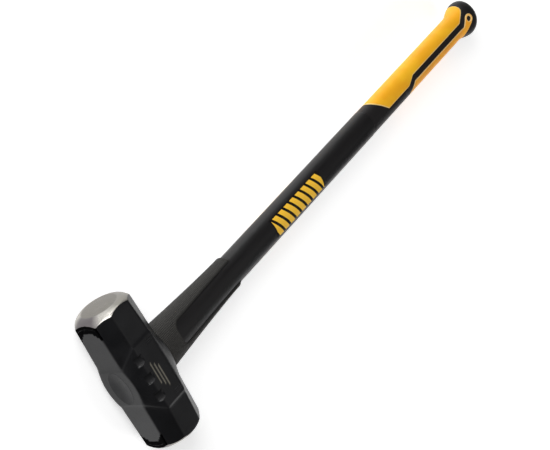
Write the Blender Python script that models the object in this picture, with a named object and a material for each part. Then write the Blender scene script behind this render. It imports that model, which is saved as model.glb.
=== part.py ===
"""Two-faced sledgehammer with a layered composite handle, as separate pieces.

Metres, +Z up. The hammer lies on its lower cheek. X runs along the handle from the head
to the pommel, Y along the head from face to face, and the origin is on the ground under
the middle of the head. Every piece is modelled about the point where the head's axis
crosses the handle's axis, and one empty at that point lifts them all to their height.
"""

import math

import bmesh
import bpy

MM = 0.001


def over(inside, wall):
    """Semi-axes of a layer's outside, from those of what it covers and its two walls."""
    return (inside[0] + wall[0], inside[1] + wall[1])


# Overall sizes
OVERALL_LENGTH = 900 * MM  # crown of the head to the end of the pommel
HEAD_LENGTH = 189 * MM  # striking face to striking face

# Head section: an octagon with a crown, an underside, two cheeks and four chamfers
CROWN_HALF = 35.0 * MM  # centre to crown, and to underside, at the belt
CROWN_TAPER = 1.6 * MM  # how much nearer the crown is at the striking ends
CHEEK_HALF = 36.6 * MM  # centre to cheek at the belt
CHEEK_TAPER = 5.4 * MM  # how much nearer the cheek is at the striking ends
CROWN_FACET = 20.9 * MM  # half-width of the crown facet at the belt's ends
CROWN_FACET_MID = 26.0 * MM  # and in the middle, over the eye
CROWN_FACET_END = 17.4 * MM  # and at the striking ends
CHEEK_FACET = 16.7 * MM  # half-height of the cheek facet at the belt
CHEEK_FACET_END = 15.7 * MM  # and at the striking ends
BELT_AT_CHEEK = 42.0 * MM  # half-length of the raised belt, on the cheek
BELT_AT_CROWN = 23.5 * MM  # and at the crown's edge
BELT_STEP = 1.3 * MM  # height of the belt over the rest of the head
BELT_SLOPE = 3.4 * MM  # length of the sloped edge of the belt

# Striking faces: a flat middle, a slight crown and a turned bevel
FACE_FLAT = 12.0 * MM
FACE_RADIUS = 26.5 * MM
FACE_DROP = 0.7 * MM
BEVEL_RADIUS = 37.1 * MM
BEVEL_DEPTH = 8.6 * MM
BEVEL_BULGE = 1.9 * MM  # how far the bevel stands out in its middle

# Forged relief on the belt of each cheek
NOTCH_COUNT = 3
NOTCH_PITCH = 25.0 * MM
NOTCH_LENGTH = 12.0 * MM
NOTCH_WIDTH = 11.0 * MM
NOTCH_DEPTH = 2.8 * MM  # under the cheek, at its wall
NOTCH_FALL = 4.5 * MM  # how much lower its crown side lies, as it cuts the chamfer
NOTCH_EXIT = 0.8 * MM  # how far its ramp comes out over the cheek
BAR_COUNT = 3
BAR_START = -6.9 * MM  # first bar; the cheek's centre stays between two bars
BAR_PITCH = 4.6 * MM
BAR_LENGTH = 30.0 * MM
BAR_WIDTH = 2.0 * MM
BAR_DEPTH = 0.5 * MM

# Handle layers: semi-axes in the striking plane and across it, each from the one inside
CORE_SIZE = (10.5 * MM, 7.5 * MM)
CARBON_WALL = (3.1 * MM, 2.8 * MM)
CARBON_SIZE = over(CORE_SIZE, CARBON_WALL)
TAIL_WALL = (2.8 * MM, 2.6 * MM)  # casing under the grip
CASING_TAIL_SIZE = over(CARBON_SIZE, TAIL_WALL)
TAIL_STEP = (4.0 * MM, 3.4 * MM)  # how much thicker the casing is along the shaft
CASING_SIZE = over(CASING_TAIL_SIZE, TAIL_STEP)
HEAD_SWELL = (8.3 * MM, 6.0 * MM)  # how much the casing grows towards the head
SWELL_POWER = 1.34
SWELL_END = 192.0 * MM  # where the shaft becomes even
CORE_END_MARGIN = 35.0 * MM  # the pommel's end to the end of the core

# Eye of the head: semi-axes along the head and across it
EYE_ROOM = (4.0 * MM, 2.9 * MM)  # round the carbon layer at the underside
EYE_UNDERSIDE = over(CARBON_SIZE, EYE_ROOM)
EYE_TAPER = (4.9 * MM, 1.2 * MM)  # how much wider the eye is at the crown
EYE_CROWN = over(EYE_UNDERSIDE, EYE_TAPER)
PLUG_THICKNESS = 6.0 * MM
PLUG_DISH = 2.2 * MM  # depth of its hollow face
PLUG_RECESS = 0.2 * MM  # its rim under the crown

# Over-strike guard
GUARD_END = 198.0 * MM
GUARD_THICKNESS = (2.6 * MM, 1.5 * MM)
GUARD_TAPER = 4.0 * MM  # length of the sloped ends of its tongues
GUARD_LIP = (0.6 * MM, 0.5 * MM)  # thickness left at their very ends
WINDOW_START = 64.0 * MM
WINDOW_HALF_WIDTH = 15.4 * MM
WINDOW_CORNER = 11.0 * MM

# Grip
GRIP_START = 548.0 * MM
GRIP_WALL = (3.7 * MM, 3.3 * MM)
GRIP_SIZE = over(CASING_TAIL_SIZE, GRIP_WALL)
POMMEL_FLARE = (7.3 * MM, 6.6 * MM)  # how much wider the pommel is than the grip
POMMEL_SIZE = over(GRIP_SIZE, POMMEL_FLARE)
POMMEL_RISE = 34.0 * MM  # length over which the grip flares out
POMMEL_END_ROUND = 15.0 * MM  # length of the rounded end, past its widest place
POMMEL_FLAT = 0.70  # share of the widest size that stays flat at the very end
POMMEL_WALL = 9.0 * MM  # rubber past the end plug
PAD_THICKNESS = 1.6 * MM
PAD_PROUD = 0.2 * MM
PAD_TOP_STRAIGHT = 21.0 * MM  # from the front pad's top back to where its edge slants off
PAD_TOP_CORNERS = ((4.0 * MM, 12.8 * MM), (0.0 * MM, 18.0 * MM))  # back from the top, and out
SPLIT_FRONT = 4.2 * MM  # edge of the front pad beside the black stripe
SPLIT_BACK = -5.0 * MM  # edge of the back pad beside the black stripe
SPLIT_LOWER = -4.1 * MM  # edge of the front pad nearer the head
PAD_TIP = 591.5 * MM  # the front pad's corner nearest the head, beside the stripe
PAD_JOG = 651.0 * MM  # where the front pad narrows and the back pad starts
JOG_LENGTH = 20.0 * MM
PAD_BACK_TOE = (15.0 * MM, 11.0 * MM)  # the back pad's slanted start: length and width

# Lanyard hole, through the pommel from cheek side to cheek side
LANYARD_DIAMETER = 8.4 * MM
LANYARD_FROM_END = 24.4 * MM
LANYARD_OFFSET = 1.6 * MM  # towards the front
LANYARD_TO_TOP = 1.0 * MM  # from the hole's centre on to the front pad's top
TAB_RIM = 3.2 * MM  # width of the yellow tab round the hole
TAB_ARC = (142, 112, 82, 52, 22, -8, -38)  # degrees round the hole, from the stripe's side
TAB_NECK = (15.0 * MM, 16.0 * MM, 20.0 * MM)  # back from the hole: two corners, and the pad's side

# Labels
LABEL_CENTRE = 346.0 * MM
LABEL_LENGTH = 118.0 * MM
LABEL_HALF_WIDTH = 13.4 * MM
LABEL_SLANT = 2.0 * MM
LABEL_THICKNESS = 0.4 * MM

# Clearances
TOUCH_GAP = 0.3 * MM  # between pieces that touch
BOND_GAP = 0.3 * MM  # between the resin and what it bonds

AROUND = 36  # sides of the handle's ovals
HOLE_SIDES = 24
TURNED = 72  # sides of turned shapes
FAR = 80 * MM  # past the outside of anything it cuts
PAST = 2 * MM  # how far a cutter passes a surface that it opens

CROWN_X = -CROWN_HALF
POMMEL_X = OVERALL_LENGTH - CROWN_HALF
FACE_Y = HEAD_LENGTH / 2
HANDLE_START = CROWN_HALF + TOUCH_GAP
CORE_START = CROWN_X + PLUG_THICKNESS + TOUCH_GAP
CORE_END = POMMEL_X - CORE_END_MARGIN
PLUG_END = POMMEL_X - POMMEL_WALL
LANYARD_X = POMMEL_X - LANYARD_FROM_END


# ---------------------------------------------------------------- building blocks

def remove_everything():
    """Start from an empty scene."""
    for old in list(bpy.data.objects):
        bpy.data.objects.remove(old, do_unlink=True)


def material(name, colour, roughness, metallic=0.0):
    """A Principled material from a colour, a roughness and a metallic value."""
    made = bpy.data.materials.new(name)
    made.use_nodes = True
    shader = made.node_tree.nodes["Principled BSDF"]
    shader.inputs["Base Color"].default_value = (*colour, 1.0)
    shader.inputs["Roughness"].default_value = roughness
    shader.inputs["Metallic"].default_value = metallic
    return made


def place(mesh, name, finish=None, sharp=30):
    """Put a mesh in the scene under the lifting empty; without a finish it is a cutter."""
    thing = bpy.data.objects.new(name, mesh)
    bpy.context.scene.collection.objects.link(thing)
    thing.parent = bpy.data.objects["axis_crossing"]
    if finish is None:
        thing.hide_render = True
        thing.display_type = "WIRE"
    else:
        mesh.materials.append(finish)
        mesh.shade_smooth()
        mesh.set_sharp_from_angle(angle=math.radians(sharp))
    return thing


def mesh_from_loops(name, loops, joined=False):
    """Skin a row of equal loops; the ends are capped, or joined to make a tube.

    The faces are split into triangles, because a Boolean needs flat faces.
    """
    shape = bmesh.new()
    rows = [[shape.verts.new(point) for point in loop] for loop in loops]
    count = len(rows[0])
    pairs = list(zip(rows, rows[1:]))
    if joined:
        pairs.append((rows[-1], rows[0]))
    else:
        shape.faces.new(rows[0])
        shape.faces.new(rows[-1])
    for low, high in pairs:
        for i in range(count):
            j = (i + 1) % count
            shape.faces.new((low[i], low[j], high[j], high[i]))
    bmesh.ops.recalc_face_normals(shape, faces=shape.faces)
    bmesh.ops.triangulate(shape, faces=shape.faces)
    mesh = bpy.data.meshes.new(name)
    shape.to_mesh(mesh)
    shape.free()
    return mesh


def prism(name, outline, low, high):
    """A straight prism along Z over a flat outline of (x, y) points."""
    loops = [[(x, y, z) for x, y in outline] for z in (low, high)]
    return mesh_from_loops(name, loops)


def oval(x, size):
    """One loop around the handle at x, with semi-axes along Y and along Z."""
    loop = []
    for i in range(AROUND):
        angle = 2 * math.pi * i / AROUND
        loop.append((x, size[0] * math.sin(angle), size[1] * math.cos(angle)))
    return loop


def grown(size, amount):
    """Semi-axes grown by one amount, or by one for each."""
    extra = amount if isinstance(amount, tuple) else (amount, amount)
    return (size[0] + extra[0], size[1] + extra[1])


def between(low, high, count):
    """Evenly spaced values from low to high, both included."""
    return [low + (high - low) * i / (count - 1) for i in range(count)]


def grow_outline(outline, gap):
    """Move every side of a counter-clockwise outline outwards by gap."""
    moved = []
    count = len(outline)
    for i in range(count):
        (ax, ay), (bx, by), (cx, cy) = outline[i - 1], outline[i], outline[(i + 1) % count]
        first = math.atan2(ay - by, bx - ax)
        second = math.atan2(by - cy, cx - bx)
        n1 = (math.sin(-first), -math.cos(first))
        n2 = (math.sin(-second), -math.cos(second))
        scale = gap / (1 + n1[0] * n2[0] + n1[1] * n2[1])
        moved.append((bx + scale * (n1[0] + n2[0]), by + scale * (n1[1] + n2[1])))
    return moved


def boolean(thing, cutter, operation="DIFFERENCE"):
    """Add one exact Boolean to a piece."""
    step = thing.modifiers.new(cutter.name, "BOOLEAN")
    step.operation = operation
    step.solver = "EXACT"
    step.object = cutter


# ---------------------------------------------------------------- handle surfaces

def casing_size(x):
    """Outside of the casing: even along the shaft, swelling towards the head."""
    share = min(max((SWELL_END - x) / (SWELL_END - HANDLE_START), 0.0), 1.0)
    swell = share ** SWELL_POWER
    return grown(CASING_SIZE, (HEAD_SWELL[0] * swell, HEAD_SWELL[1] * swell))


def grip_size(x):
    """Outside of the grip: even, then an S-shaped flare to the pommel and a rounded end."""
    widest = POMMEL_X - POMMEL_END_ROUND
    share = min(max((x - widest + POMMEL_RISE) / POMMEL_RISE, 0.0), 1.0)
    flare = share * share * (3 - 2 * share)
    size = [g + (p - g) * flare for g, p in zip(GRIP_SIZE, POMMEL_SIZE)]
    if x > widest:
        past = min((x - widest) / POMMEL_END_ROUND, 1.0)
        shrink = POMMEL_FLAT + (1 - POMMEL_FLAT) * math.sqrt(1 - past * past)
        size = [s * shrink for s in size]
    return tuple(size)


def grip_stations(low, high):
    """Stations along the grip: few where it is even, close together on the pommel."""
    flare_start = POMMEL_X - POMMEL_END_ROUND - POMMEL_RISE
    widest = POMMEL_X - POMMEL_END_ROUND
    stations = [low, flare_start]
    stations += between(flare_start, widest, 12)[2:]
    turns = [math.sin(math.radians(a)) for a in (25, 45, 60, 73, 90)]
    stations += [widest + POMMEL_END_ROUND * turn for turn in turns]
    kept = [low] + [x for x in stations if low < x < high - TOUCH_GAP] + [high]
    return kept


# ---------------------------------------------------------------- head

def head_ring(crown_y, cheek_y, crown, cheek, side):
    """The section's eight corners. crown and cheek are (half-height, half-width) of theirs.

    The crown's corners and the cheek's corners have a place of their own along Y, because
    the belt is shorter on the crown than on the cheeks.
    """
    ring = []
    for sx, sz in ((-1, -1), (-1, 1), (1, 1), (1, -1)):
        at_crown = (sx * crown[0], side * crown_y, sz * crown[1])
        at_cheek = (sx * cheek[0], side * cheek_y, sz * cheek[1])
        ring += [at_crown, at_cheek] if sx * sz < 0 else [at_cheek, at_crown]
    return ring


def head_blank():
    """The octagonal forging: plain ends, and a belt that bulges over the eye."""
    past = FACE_Y + BELT_STEP
    cheek = (CHEEK_FACET, CHEEK_HALF)
    foot_crown = (CROWN_HALF - BELT_STEP / 2, CROWN_FACET - BELT_STEP)
    foot_cheek = (CHEEK_FACET, CHEEK_HALF - BELT_STEP)
    rings = []
    for side in (-1, 1):
        half = [head_ring(past, past, (CROWN_HALF - CROWN_TAPER, CROWN_FACET_END),
                          (CHEEK_FACET_END, CHEEK_HALF - CHEEK_TAPER), side),
                head_ring(BELT_AT_CROWN + BELT_SLOPE, BELT_AT_CHEEK + BELT_SLOPE,
                          foot_crown, foot_cheek, side)]
        for share in (1.0, 0.8, 0.6, 0.4, 0.2):
            facet = CROWN_FACET + (CROWN_FACET_MID - CROWN_FACET) * (1 - share * share)
            half.append(head_ring(BELT_AT_CROWN * share, BELT_AT_CHEEK * share,
                                  (CROWN_HALF, facet), cheek, side))
        rings.append(half)
    middle = head_ring(0.0, 0.0, (CROWN_HALF, CROWN_FACET_MID), cheek, 1)
    return mesh_from_loops("head", rings[0] + [middle] + rings[1][::-1])


def turned_ends():
    """A turned solid that gives both ends their flat, crown and bevel."""
    half = [(FACE_FLAT, FACE_Y), (FACE_RADIUS, FACE_Y - FACE_DROP)]
    for share in (0.25, 0.5, 0.75, 1.0):
        radius = FACE_RADIUS + (BEVEL_RADIUS - FACE_RADIUS) * share
        fall = FACE_DROP + (BEVEL_DEPTH - FACE_DROP) * share
        half.append((radius, FACE_Y - fall + 4 * BEVEL_BULGE * share * (1 - share)))
    half.append((FAR, FACE_Y - BEVEL_DEPTH - FAR + BEVEL_RADIUS))
    profile = half + [(radius, -y) for radius, y in half[::-1]]
    loops = []
    for radius, y in profile:
        turn = [2 * math.pi * i / TURNED for i in range(TURNED)]
        loops.append([(radius * math.cos(a), y, radius * math.sin(a)) for a in turn])
    return mesh_from_loops("turned_ends", loops)


def eye_size(x):
    """Semi-axes of the eye, tapering from the crown to the underside."""
    share = (x - CROWN_X) / (2 * CROWN_HALF)
    return tuple(c + (u - c) * share for c, u in zip(EYE_CROWN, EYE_UNDERSIDE))


def notch(centre, side):
    """A recess across the belt's crown-side edge: a wall at one end and a ramp out."""
    wall = centre + NOTCH_LENGTH / 2
    ramp = centre - NOTCH_LENGTH / 2
    top = CHEEK_HALF + 2 * NOTCH_DEPTH
    low = -CHEEK_FACET - NOTCH_WIDTH / 2
    high = -CHEEK_FACET + NOTCH_WIDTH / 2
    loops = []
    for x, drop in ((low, NOTCH_FALL), (high, 0.0)):
        floor = CHEEK_HALF - NOTCH_DEPTH - drop
        exit_height = CHEEK_HALF + NOTCH_EXIT - drop
        loops.append([(x, wall, side * top), (x, wall, side * floor),
                      (x, ramp, side * exit_height), (x, ramp, side * top)])
    return mesh_from_loops("notch", loops)


def bar(x, centre, side):
    """One slim sunk bar on the cheek, slanted at both ends."""
    half = BAR_LENGTH / 2
    outline = [(x - BAR_WIDTH / 2, centre - half), (x + BAR_WIDTH / 2, centre - half + BAR_WIDTH),
               (x + BAR_WIDTH / 2, centre + half), (x - BAR_WIDTH / 2, centre + half - BAR_WIDTH)]
    near = side * (CHEEK_HALF - BAR_DEPTH)
    return prism("bar", outline, near, side * FAR)


def make_head():
    """Drop-forged head: octagonal, belted, with turned faces, an eye and sunk relief."""
    steel = material("forged_steel_black", (0.028, 0.028, 0.032), 0.35, 0.6)
    head = place(head_blank(), "head", steel, sharp=15)
    boolean(head, place(turned_ends(), "cut_turned_ends"), "INTERSECT")
    eye = [oval(x, eye_size(x)) for x in (CROWN_X - PAST, CROWN_HALF + PAST)]
    boolean(head, place(mesh_from_loops("eye", eye), "cut_eye"))
    for side in (-1, 1):
        for i in range(NOTCH_COUNT):
            centre = (i - (NOTCH_COUNT - 1) / 2) * NOTCH_PITCH
            boolean(head, place(notch(centre, side), f"cut_notch_{side}_{i}"))
        for i in range(BAR_COUNT):
            x = BAR_START + i * BAR_PITCH
            boolean(head, place(bar(x, -i * BAR_PITCH, side), f"cut_bar_{side}_{i}"))


def make_eye_bond():
    """Resin poured round the handle in the eye, a tapered sleeve."""
    resin = material("epoxy_resin", (0.20, 0.17, 0.10), 0.4)
    low = CORE_START
    high = CROWN_HALF - TOUCH_GAP
    outer = [oval(x, grown(eye_size(x), -BOND_GAP)) for x in (low, high)]
    inner = [oval(x, grown(CARBON_SIZE, BOND_GAP)) for x in (high, low)]
    place(mesh_from_loops("eye_bond", outer + inner, joined=True), "eye_bond", resin)


def make_eye_plug():
    """Potting that closes the eye at the crown, its face dished."""
    black = material("potting_compound", (0.035, 0.034, 0.038), 0.45)
    low = CROWN_X + PLUG_THICKNESS
    rim = grown(eye_size(CROWN_X), -BOND_GAP)
    face = CROWN_X + PLUG_RECESS
    loops = [oval(low, grown(eye_size(low), -BOND_GAP)), oval(face, rim)]
    for share in (0.92, 0.75, 0.5, 0.25):
        depth = PLUG_DISH * (1 - share * share)
        loops.append(oval(face + depth, (rim[0] * share, rim[1] * share)))
    place(mesh_from_loops("eye_plug", loops), "eye_plug", black)


# ---------------------------------------------------------------- handle layers

def make_core():
    """Pultruded glass-fibre core, from the eye to the pommel."""
    glass = material("fibreglass", (0.55, 0.52, 0.38), 0.5)
    loops = [oval(x, CORE_SIZE) for x in (CORE_START, CORE_END)]
    place(mesh_from_loops("fibreglass_core", loops), "fibreglass_core", glass)


def make_carbon_layer():
    """Carbon composite layer wound round the core."""
    carbon = material("carbon_composite", (0.03, 0.03, 0.032), 0.35)
    outer = [oval(x, CARBON_SIZE) for x in (CORE_START, CORE_END)]
    inner = [oval(x, grown(CORE_SIZE, BOND_GAP)) for x in (CORE_END, CORE_START)]
    place(mesh_from_loops("carbon_layer", outer + inner, joined=True), "carbon_layer", carbon)


def make_casing():
    """Moulded outer casing: swollen at the head, stepped down under the grip."""
    plastic = material("polypropylene_black", (0.022, 0.021, 0.022), 0.42)
    stations = between(HANDLE_START, SWELL_END, 9)
    outer = [oval(x, casing_size(x)) for x in stations]
    step = GRIP_START - TOUCH_GAP
    outer += [oval(step, CASING_SIZE), oval(step, CASING_TAIL_SIZE), oval(CORE_END, CASING_TAIL_SIZE)]
    bore = grown(CARBON_SIZE, BOND_GAP)
    inner = [oval(x, bore) for x in (CORE_END, HANDLE_START)]
    place(mesh_from_loops("outer_casing", outer + inner, joined=True), "outer_casing", plastic)


def make_end_plug():
    """Hard plug past the end of the core, which carries the lanyard hole."""
    plastic = material("end_plug_nylon", (0.03, 0.03, 0.03), 0.5)
    loops = [oval(x, CASING_TAIL_SIZE) for x in (CORE_END + TOUCH_GAP, PLUG_END)]
    plug = place(mesh_from_loops("end_plug", loops), "end_plug", plastic)
    boolean(plug, bpy.data.objects["cut_lanyard"])


# ---------------------------------------------------------------- guard

def window_outline():
    """The window between the guard's tongues: round corners, open at the far end."""
    centre_x = WINDOW_START + WINDOW_CORNER
    centre_y = WINDOW_HALF_WIDTH - WINDOW_CORNER
    arc = [math.radians(a) for a in (0, 22.5, 45, 67.5, 90)]
    corner = [(centre_x - WINDOW_CORNER * math.cos(a), centre_y + WINDOW_CORNER * math.sin(a)) for a in arc]
    mirrored = [(x, -y) for x, y in corner]
    end = GUARD_END + FAR
    return [(end, -WINDOW_HALF_WIDTH), (end, WINDOW_HALF_WIDTH)] + corner[::-1] + mirrored


def make_guard():
    """Textured rubber guard: a ring at the head with one tongue on each striking side."""
    rubber = material("guard_rubber", (0.042, 0.040, 0.038), 0.85)
    stations = between(HANDLE_START, GUARD_END - GUARD_TAPER, 9)
    outer = [oval(x, grown(casing_size(x), GUARD_THICKNESS)) for x in stations]
    inner = [oval(x, grown(casing_size(x), TOUCH_GAP)) for x in stations]
    tip = grown(casing_size(GUARD_END), GUARD_LIP)
    outer.append(oval(GUARD_END, tip))
    inner.append(oval(GUARD_END, grown(casing_size(GUARD_END), TOUCH_GAP)))
    shell = mesh_from_loops("overstrike_guard", outer + inner[::-1], joined=True)
    guard = place(shell, "overstrike_guard", rubber)
    cutter = place(prism("window", window_outline(), -FAR, FAR), "cut_window")
    boolean(guard, cutter)


# ---------------------------------------------------------------- grip

def front_outline():
    """Plan of the front pad: slanted start, a jog in the middle, a rounded top."""
    top = LANYARD_X + LANYARD_TO_TOP
    outline = [(PAD_TIP - FAR + SPLIT_LOWER, FAR), (PAD_TIP, SPLIT_LOWER), (PAD_JOG, SPLIT_LOWER),
               (PAD_JOG + JOG_LENGTH, SPLIT_FRONT), (top - PAD_TOP_STRAIGHT, SPLIT_FRONT)]
    outline += [(top - back, SPLIT_FRONT + out) for back, out in PAD_TOP_CORNERS]
    return outline + [(top, FAR)]


def back_outline():
    """Plan of the back pad, which ends in a tab round the lanyard hole."""
    heel = PAD_JOG + JOG_LENGTH
    toe = heel - PAD_BACK_TOE[0]
    reach = LANYARD_DIAMETER / 2 + TAB_RIM
    outline = [(LANYARD_X - TAB_NECK[0], SPLIT_BACK)]
    for degrees in TAB_ARC:
        angle = math.radians(degrees)
        outline.append((LANYARD_X + reach * math.cos(angle), LANYARD_OFFSET + reach * math.sin(angle)))
    outline += [(LANYARD_X - TAB_NECK[1], -GRIP_SIZE[0]), (LANYARD_X - TAB_NECK[2], -FAR)]
    outline += [(toe, -FAR), (toe, SPLIT_BACK - PAD_BACK_TOE[1]), (heel, SPLIT_BACK)]
    return outline


def counter_clockwise(outline):
    """The same outline, turned so that it runs counter-clockwise."""
    area = 0.0
    for (ax, ay), (bx, by) in zip(outline, outline[1:] + outline[:1]):
        area += ax * by - bx * ay
    return outline if area > 0 else outline[::-1]


def grip_shell(name, low_offset, high_offset):
    """A closed shell round the grip between two offsets of its outside."""
    stations = grip_stations(PAD_TIP - 2 * POMMEL_SIZE[0], POMMEL_X - POMMEL_END_ROUND)
    outer = [oval(x, grown(grip_size(x), high_offset)) for x in stations]
    inner = [oval(x, grown(grip_size(x), low_offset)) for x in stations]
    return mesh_from_loops(name, outer + inner[::-1], joined=True)


def make_pad(name, outline, finish):
    """One coloured pad, and the pocket that it lies in; gives back the pocket's cutter."""
    outline = counter_clockwise(outline)
    pad = place(grip_shell(name, -PAD_THICKNESS, PAD_PROUD), name, finish)
    plan = place(prism(f"{name}_plan", outline, -FAR, FAR), f"cut_{name}_plan")
    boolean(pad, plan, "INTERSECT")
    boolean(pad, bpy.data.objects["cut_lanyard"])
    pocket = place(grip_shell(f"{name}_pocket", -PAD_THICKNESS - TOUCH_GAP, PAST), f"cut_{name}_pocket")
    wide = prism(f"{name}_pocket_plan", grow_outline(outline, TOUCH_GAP), -FAR, FAR)
    boolean(pocket, place(wide, f"cut_{name}_pocket_plan"), "INTERSECT")
    return pocket


def make_grip():
    """Black grip with its pommel, and the two yellow pads let into it."""
    black = material("grip_rubber_black", (0.020, 0.019, 0.020), 0.6)
    yellow = material("grip_rubber_yellow", (1.0, 0.47, 0.012), 0.55)
    stations = grip_stations(GRIP_START, POMMEL_X)
    outer = [oval(x, grip_size(x)) for x in stations]
    bore = grown(CASING_TAIL_SIZE, TOUCH_GAP)
    shape = outer[::-1] + [oval(x, bore) for x in (GRIP_START, PLUG_END + TOUCH_GAP)]
    sleeve = place(mesh_from_loops("grip_sleeve", shape), "grip_sleeve", black)
    for name, outline in (("grip_pad_front", front_outline()), ("grip_pad_back", back_outline())):
        boolean(sleeve, make_pad(name, outline, yellow))
    boolean(sleeve, bpy.data.objects["cut_lanyard"])


def make_lanyard_cutter():
    """The round cutter that makes the lanyard hole in every piece that it passes."""
    radius = LANYARD_DIAMETER / 2
    loops = []
    for z in (-FAR, FAR):
        turn = [2 * math.pi * (i + 0.5) / HOLE_SIDES for i in range(HOLE_SIDES)]
        loops.append([(LANYARD_X + radius * math.cos(a), LANYARD_OFFSET + radius * math.sin(a), z)
                      for a in turn])
    place(mesh_from_loops("lanyard", loops), "cut_lanyard")


# ---------------------------------------------------------------- labels

def make_labels():
    """A thin film on each flat side of the shaft."""
    film = material("label_film", (0.80, 0.46, 0.02), 0.4)
    reach = LABEL_LENGTH / 2
    slant = LABEL_SLANT / 2
    outline = [(LABEL_CENTRE - reach - slant, -LABEL_HALF_WIDTH),
               (LABEL_CENTRE + reach - slant, -LABEL_HALF_WIDTH),
               (LABEL_CENTRE + reach + slant, LABEL_HALF_WIDTH),
               (LABEL_CENTRE - reach + slant, LABEL_HALF_WIDTH)]
    ends = (LABEL_CENTRE - LABEL_LENGTH, LABEL_CENTRE + LABEL_LENGTH)
    outer = [oval(x, grown(CASING_SIZE, TOUCH_GAP + LABEL_THICKNESS)) for x in ends]
    inner = [oval(x, grown(CASING_SIZE, TOUCH_GAP)) for x in ends]
    for name, side in (("label_top", 1), ("label_bottom", -1)):
        label = place(mesh_from_loops(name, outer + inner[::-1], joined=True), name, film)
        plan = prism(f"{name}_plan", outline, 0.0, FAR * side)
        boolean(label, place(plan, f"cut_{name}_plan"), "INTERSECT")


def build():
    """Make every piece, in the order the real hammer is put together."""
    remove_everything()
    crossing = bpy.data.objects.new("axis_crossing", None)
    crossing.location = (0.0, 0.0, CHEEK_HALF)
    bpy.context.scene.collection.objects.link(crossing)
    make_lanyard_cutter()
    make_core()
    make_carbon_layer()
    make_casing()
    make_guard()
    make_head()
    make_eye_bond()
    make_eye_plug()
    make_end_plug()
    make_grip()
    make_labels()


build()
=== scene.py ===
import math

import bpy
import numpy as np
from mathutils import Matrix, Vector


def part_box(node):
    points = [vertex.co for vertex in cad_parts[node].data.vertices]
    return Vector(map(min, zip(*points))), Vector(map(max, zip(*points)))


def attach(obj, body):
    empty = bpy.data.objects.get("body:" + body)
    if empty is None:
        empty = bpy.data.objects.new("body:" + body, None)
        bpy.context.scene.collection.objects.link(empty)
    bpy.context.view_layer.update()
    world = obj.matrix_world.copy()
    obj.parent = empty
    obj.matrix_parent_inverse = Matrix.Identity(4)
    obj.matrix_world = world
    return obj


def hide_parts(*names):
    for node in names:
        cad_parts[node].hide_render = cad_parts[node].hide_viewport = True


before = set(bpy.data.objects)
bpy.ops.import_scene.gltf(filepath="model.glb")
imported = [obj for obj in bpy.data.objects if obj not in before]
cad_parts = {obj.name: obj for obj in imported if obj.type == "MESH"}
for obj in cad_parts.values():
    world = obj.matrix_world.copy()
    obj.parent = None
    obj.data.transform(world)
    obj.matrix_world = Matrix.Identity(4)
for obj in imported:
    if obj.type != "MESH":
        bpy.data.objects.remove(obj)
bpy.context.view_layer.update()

# ------------------------------------------------------------------ camera, floor and light
# The camera looks down at the hammer from behind the crown of the head, rolled so that the
# handle rises to the upper right. The floor is plain matt studio paper that runs past the
# view on every side and glows a little, as if on a light table, so that it stays white.

head_low, head_high = (Vector(corner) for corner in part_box("head"))
AXIS_Z = (head_low.z + head_high.z) / 2
CROSSING = Vector((0.0, 0.0, AXIS_Z))


def linear(code):
    """A hex sRGB colour as linear red, green, blue, alpha."""
    parts = [int(code[i:i + 2], 16) / 255 for i in (1, 3, 5)]
    parts = tuple(c / 12.92 if c <= 0.04045 else ((c + 0.055) / 1.055) ** 2.4 for c in parts)
    return parts + (1.0,)


def new_material(name):
    """A material with only its Principled shader and output left in it."""
    made = bpy.data.materials.new(name)
    made.use_nodes = True
    return made, made.node_tree, made.node_tree.nodes["Principled BSDF"]


camera_axes = Matrix(((0.518, -0.4507, 0.727), (0.5657, 0.818, 0.1041), (-0.6416, 0.3573, 0.6787)))
camera_data = bpy.data.cameras.new("camera")
camera_data.lens = 103.6
camera_data.sensor_width = 36.0
camera = bpy.data.objects.new("camera", camera_data)
bpy.context.scene.collection.objects.link(camera)
camera_turn = camera_axes.transposed().normalized().to_4x4()
camera.matrix_world = Matrix.Translation(CROSSING + Vector((-1.0053, 0.7261, 1.3859))) @ camera_turn
bpy.context.scene.camera = camera

floor_mesh = bpy.data.meshes.new("floor")
reach = 12.0
corners = [(-reach, -reach, 0.0), (reach, -reach, 0.0), (reach, reach, 0.0), (-reach, reach, 0.0)]
floor_mesh.from_pydata(corners, [], [(0, 1, 2, 3)])
floor = bpy.data.objects.new("floor", floor_mesh)
bpy.context.scene.collection.objects.link(floor)
paper, tree, shader = new_material("matt_white_studio_paper")
shader.inputs["Base Color"].default_value = linear("#f4f4f4")
shader.inputs["Roughness"].default_value = 0.9
shader.inputs["Specular IOR Level"].default_value = 0.1
shader.inputs["Emission Color"].default_value = (1.0, 1.0, 1.0, 1.0)
shader.inputs["Emission Strength"].default_value = 0.5
floor_mesh.materials.append(paper)

world = bpy.data.worlds.new("studio")
bpy.context.scene.world = world
world.use_nodes = True
world.node_tree.nodes["Background"].inputs["Color"].default_value = (1.0, 1.0, 1.0, 1.0)
world.node_tree.nodes["Background"].inputs["Strength"].default_value = 0.07


def softbox(name, towards, distance, size, power, aim_x=0.35, seen=True):
    """A rectangular area light on the line from a point of the handle towards a direction; one
    that isn't seen lights surfaces without a reflection of its own."""
    lamp = bpy.data.lights.new(name, "AREA")
    lamp.shape = "RECTANGLE"
    lamp.size, lamp.size_y = size
    lamp.energy = power
    thing = bpy.data.objects.new(name, lamp)
    bpy.context.scene.collection.objects.link(thing)
    thing.visible_glossy = seen
    aim = Vector((aim_x, 0.0, 0.0)) + CROSSING
    spot = aim + Vector(towards).normalized() * distance
    facing = (aim - spot).to_track_quat("-Z", "Y").to_matrix().to_4x4()
    thing.matrix_world = Matrix.Translation(spot) @ facing


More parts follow.
